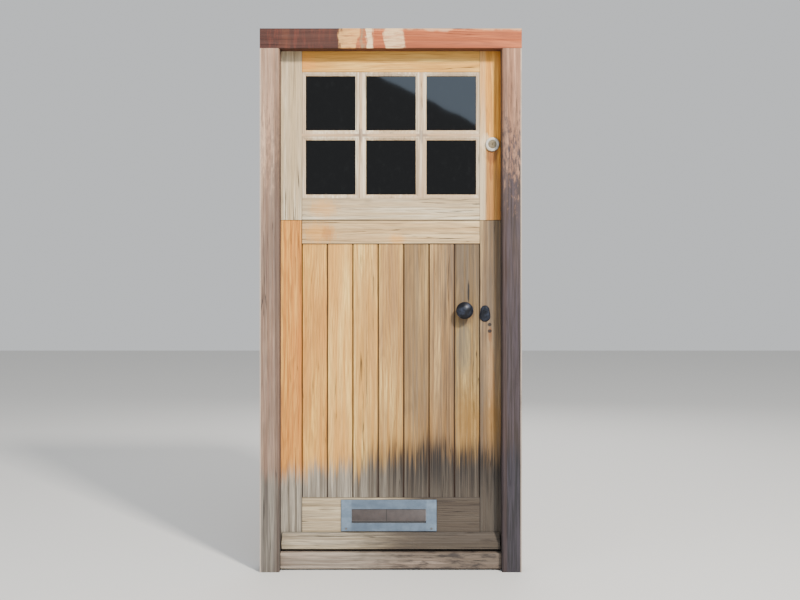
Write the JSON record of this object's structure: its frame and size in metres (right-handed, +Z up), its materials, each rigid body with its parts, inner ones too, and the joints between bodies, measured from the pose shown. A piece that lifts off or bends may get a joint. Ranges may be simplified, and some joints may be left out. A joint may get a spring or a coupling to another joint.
{
  "type": "stable door",
  "caption": "Framed oak stable door in two leaves: a glazed upper leaf over a boarded lower leaf with letter plate, weatherboard, knob, rim lock and night latch.",
  "frame": {"origin": "on the sill's underside, in the middle of the doorway and of the frame's depth", "axes": "+X to the right seen from outside, +Y indoors, +Z up"},
  "size_m": [0.994, 0.171, 2.063],
  "materials": {
    "oak_frame": "weathered, red-brown at the head and grey below",
    "oak_leaf": "weathered honey oak, grey towards the foot",
    "oak_boards": "weathered honey oak with dark stain at the foot",
    "pale_oak": "bleached and pale",
    "pane_glass": "clear float glass before a dark room",
    "hinge_steel": "dull",
    "black_iron": "black, satin",
    "japanned_steel": "black, satin",
    "bolt_steel": "dull",
    "zinc_grey": "dull blue-grey",
    "latch_grey": "satin grey",
    "latch_brass": "worn"
  },
  "bodies": {
    "frame": {"frame_head": "oak_frame", "jamb_left": "oak_frame", "jamb_right": "oak_frame", "sill": "oak_frame", "frame_pegs": "oak_frame", "frame_hinge_flaps": "hinge_steel", "hinge_pins": "hinge_steel", "lock_keep": "japanned_steel", "night_latch_keep": "latch_grey"},
    "upper_leaf": {"upper_stile_left": "oak_leaf", "upper_stile_right": "oak_leaf", "upper_top_rail": "oak_leaf", "upper_bottom_rail": "oak_leaf", "glazing_bars_upright": "pale_oak", "glazing_bars_cross": "pale_oak", "panes": "pane_glass", "glazing_beads": "pale_oak", "upper_wedges": "oak_leaf", "upper_hinge_flaps": "hinge_steel", "night_latch_case": "latch_grey", "night_latch_rose": "latch_grey", "night_latch_cylinder": "latch_brass", "link_bolt_plate": "japanned_steel"},
    "lower_leaf": {"lower_stile_left": "oak_leaf", "lower_stile_right": "oak_leaf", "lower_top_rail": "oak_leaf", "lower_bottom_rail": "oak_leaf", "lock_rail": "oak_leaf", "brace": "oak_leaf", "board_1": "oak_boards", "board_2": "oak_boards", "board_3": "oak_boards", "board_4": "oak_boards", "board_5": "oak_boards", "board_6": "oak_boards", "board_7": "oak_boards", "weatherboard": "oak_leaf", "lower_wedges": "oak_leaf", "lower_hinge_flaps": "hinge_steel", "letter_plate": "zinc_grey", "letter_flap_pin": "bolt_steel", "lock_case": "japanned_steel", "knob_rose": "black_iron", "keyhole_plate": "black_iron", "link_bolt_keep": "japanned_steel"},
    "knob": {"outer_knob": "black_iron", "inner_knob": "black_iron", "spindle": "bolt_steel", "lock_follower": "bolt_steel"},
    "latch": {"latch_bolt": "bolt_steel"},
    "dead_bolt": {"dead_bolt": "bolt_steel"},
    "keyhole_cover": {"keyhole_cover": "black_iron"},
    "letter_flap": {"letter_flap": "zinc_grey"},
    "night_latch_turn": {"night_latch_turn": "latch_grey"},
    "night_latch_bolt": {"night_latch_bolt": "latch_brass"},
    "night_latch_plug": {"night_latch_plug": "latch_brass"},
    "link_bolt": {"link_bolt": "japanned_steel"}
  },
  "joints": [
    {"name": "upper_leaf_swing", "type": "hinge", "parent": "frame", "child": "upper_leaf", "pos_m": [-0.4335, 0.0588, 1.66], "axis": [0, 0, 1], "range_deg": [0, 100]},
    {"name": "lower_leaf_swing", "type": "hinge", "parent": "frame", "child": "lower_leaf", "pos_m": [-0.4335, 0.0588, 0.745], "axis": [0, 0, 1], "range_deg": [0, 100]},
    {"name": "knob_turn", "type": "hinge", "parent": "lower_leaf", "child": "knob", "pos_m": [0.282, 0.03, 0.992], "axis": [0, 1, 0], "range_deg": [0, 40]},
    {"name": "latch_slide", "type": "slide", "parent": "lower_leaf", "child": "latch", "axis": [1, 0, 0], "range_m": [0, 0.0121]},
    {"name": "dead_bolt_slide", "type": "slide", "parent": "lower_leaf", "child": "dead_bolt", "axis": [1, 0, 0], "range_m": [0, 0.014]},
    {"name": "keyhole_cover_swing", "type": "hinge", "parent": "lower_leaf", "child": "keyhole_cover", "pos_m": [0.362, 0.0035, 0.993], "axis": [0, 1, 0], "range_deg": [-90, 90]},
    {"name": "letter_flap_swing", "type": "hinge", "parent": "lower_leaf", "child": "letter_flap", "pos_m": [-0.008, 0.013, 0.2275], "axis": [1, 0, 0], "range_deg": [0, 75], "stiffness_Nm_per_rad": 0.03, "springref_deg": -45.84},
    {"name": "night_latch_turn", "type": "hinge", "parent": "upper_leaf", "child": "night_latch_turn", "pos_m": [0.39, 0.07, 1.63], "axis": [0, 1, 0], "range_deg": [0, 40]},
    {"name": "night_latch_slide", "type": "slide", "parent": "upper_leaf", "child": "night_latch_bolt", "axis": [1, 0, 0], "range_m": [0, 0.0121]},
    {"name": "night_latch_plug_turn", "type": "hinge", "parent": "upper_leaf", "child": "night_latch_plug", "pos_m": [0.39, 0.02, 1.63], "axis": [0, 1, 0], "range_deg": [0, 90]},
    {"name": "link_bolt_slide", "type": "slide", "parent": "upper_leaf", "child": "link_bolt", "axis": [0, 0, -1], "range_m": [0, 0.022]}
  ],
  "couplings": [
    {"joint": "latch_slide", "follows": "knob_turn", "m_per_rad": 0.017189},
    {"joint": "night_latch_slide", "follows": "night_latch_turn", "m_per_rad": 0.017189}
  ]
}
